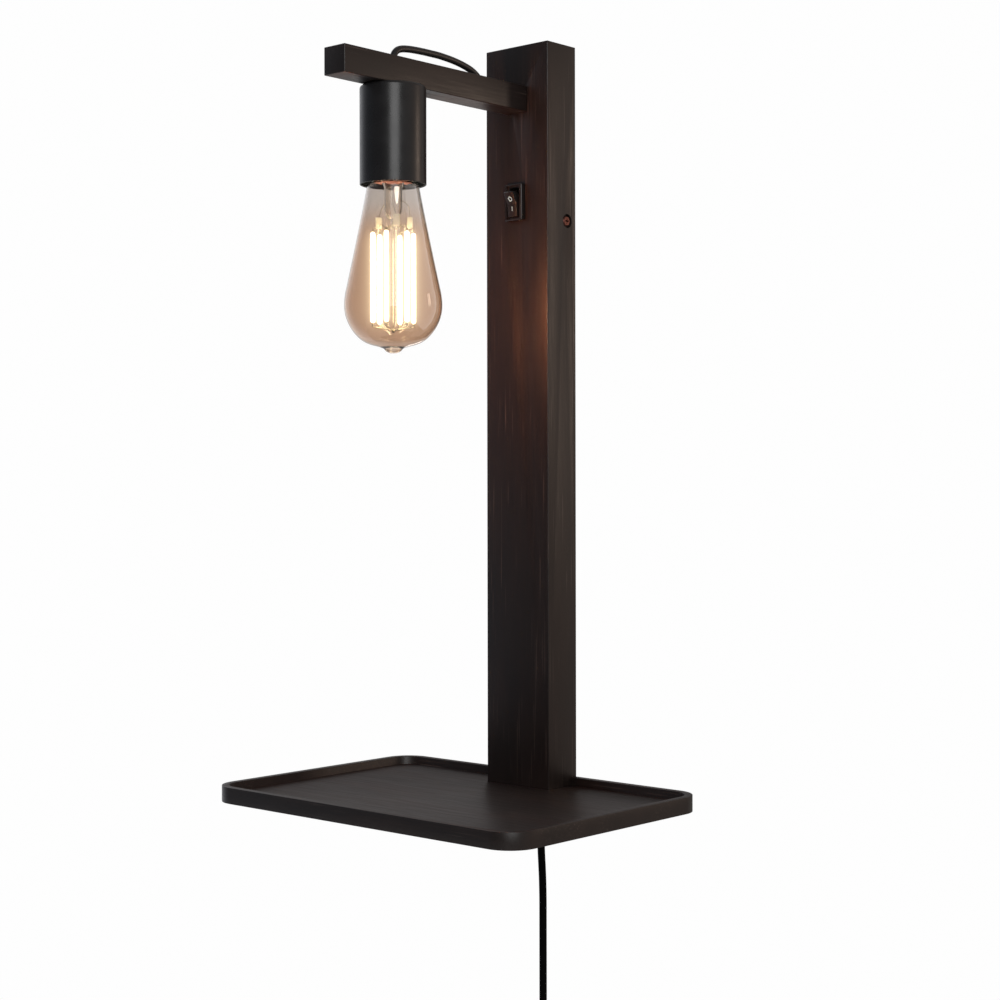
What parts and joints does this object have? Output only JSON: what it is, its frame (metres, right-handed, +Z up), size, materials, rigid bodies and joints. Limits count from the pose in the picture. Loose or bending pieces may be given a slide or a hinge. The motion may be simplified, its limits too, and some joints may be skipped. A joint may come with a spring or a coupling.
{
  "type": "wall lamp with shelf",
  "caption": "Plug-in wall lamp: dark wooden post with a short arm, metal cup lampholder with a pear-shaped amber filament bulb, rocker switch, and a shelf tray at the foot; cord hangs below.",
  "frame": {"origin": "on the wall plane, midway between the wall bracket's two wall holes, level with the post's side screws", "axes": "+X to the right along the wall seen from the front, +Y into the wall, +Z up"},
  "size_m": [0.277, 0.2055, 0.8672],
  "materials": {
    "post_wood": "dark brown-black stain, satin",
    "arm_wood": "dark brown-black stain, satin",
    "tray_wood": "dark brown-black stain, satin",
    "cup_black": "satin black lacquer",
    "bracket_steel": "zinc plated",
    "screw_steel": "zinc plated, yellowish",
    "screw_black": "black oxide",
    "tube_steel": "zinc plated",
    "holder_black": "moulded, matt",
    "insulator_white": "moulded, matt",
    "contact_brass": "bright",
    "bulb_cap_brass": "plated, bright",
    "bulb_vitrite": "black glass, smooth",
    "bulb_solder": "soldered tip",
    "driver_board": "circuit board",
    "bulb_glass_amber": "clear, amber tinted, smooth",
    "stem_glass": "clear, smooth",
    "filament": "lit, warm white",
    "wire_metal": "bright wire",
    "switch_black": "moulded, fine satin gloss",
    "plunger_white": "moulded",
    "spring_steel": "bright",
    "block_white": "moulded, natural",
    "cable_black": "smooth sheath, satin",
    "core_plastic": "coloured insulation",
    "cord_black": "smooth sheath, satin",
    "relief_black": "soft, matt",
    "tie_black": "woven strap",
    "plug_black": "moulded, satin",
    "pin_metal": "nickel plated"
  },
  "bodies": {
    "lamp_frame": {"post": "post_wood", "tray": "tray_wood", "tray_screws": "screw_black", "arm": "arm_wood", "arm_screws": "screw_steel", "wall_bracket": "bracket_steel", "side_screws": "screw_black", "lamp_cup": "cup_black", "nipple": "tube_steel", "nipple_nut": "tube_steel", "cable_bush": "holder_black", "holder_cap": "holder_black", "holder_insulator": "insulator_white", "holder_body": "holder_black", "screw_shell": "contact_brass", "centre_contact": "contact_brass", "holder_terminals": "contact_brass", "switch_housing": "switch_black", "switch_terminals": "contact_brass", "terminal_block": "block_white", "block_screws": "screw_steel", "cord_clamp": "block_white", "clamp_screws": "screw_steel", "lamp_cable": "cable_black", "cores": "core_plastic", "inner_cord": "cord_black", "strain_relief": "relief_black", "cord_drop": "cord_black", "cord_hank": "cord_black", "hank_tie": "tie_black", "plug_body": "plug_black", "plug_pins": "pin_metal"},
    "rocker": {"switch_rocker": "switch_black", "switch_plunger": "plunger_white", "switch_spring": "spring_steel"},
    "seesaw": {"switch_bridge": "contact_brass"},
    "bulb_lift": {"bulb_contact": "bulb_solder"},
    "bulb": {"bulb_cap": "bulb_cap_brass", "bulb_insulator": "bulb_vitrite", "bulb_driver": "driver_board", "bulb_glass": "bulb_glass_amber", "bulb_stem": "stem_glass", "bulb_filaments": "filament", "bulb_wires": "wire_metal"}
  },
  "joints": [
    {"name": "rocker_tilt", "type": "hinge", "parent": "lamp_frame", "child": "rocker", "pos_m": [0, -0.0313, 0.0132], "axis": [-1, 0, 0], "range_deg": [0, 34]},
    {"name": "seesaw_tilt", "type": "hinge", "parent": "lamp_frame", "child": "seesaw", "pos_m": [0, -0.01965, 0.0132], "axis": [-1, 0, 0], "range_deg": [-12, 0]},
    {"name": "bulb_travel", "type": "slide", "parent": "lamp_frame", "child": "bulb_lift", "axis": [0, 0, -1], "range_m": [0, 0.0146]},
    {"name": "bulb_turn", "type": "hinge", "parent": "bulb_lift", "child": "bulb", "pos_m": [0, -0.153, 0], "axis": [0, 0, -1], "range_deg": [0, 1440]}
  ],
  "couplings": [
    {"joint": "seesaw_tilt", "follows": "rocker_tilt", "ratio": -0.35},
    {"joint": "bulb_travel", "follows": "bulb_turn", "m_per_rad": 0.000576}
  ]
}
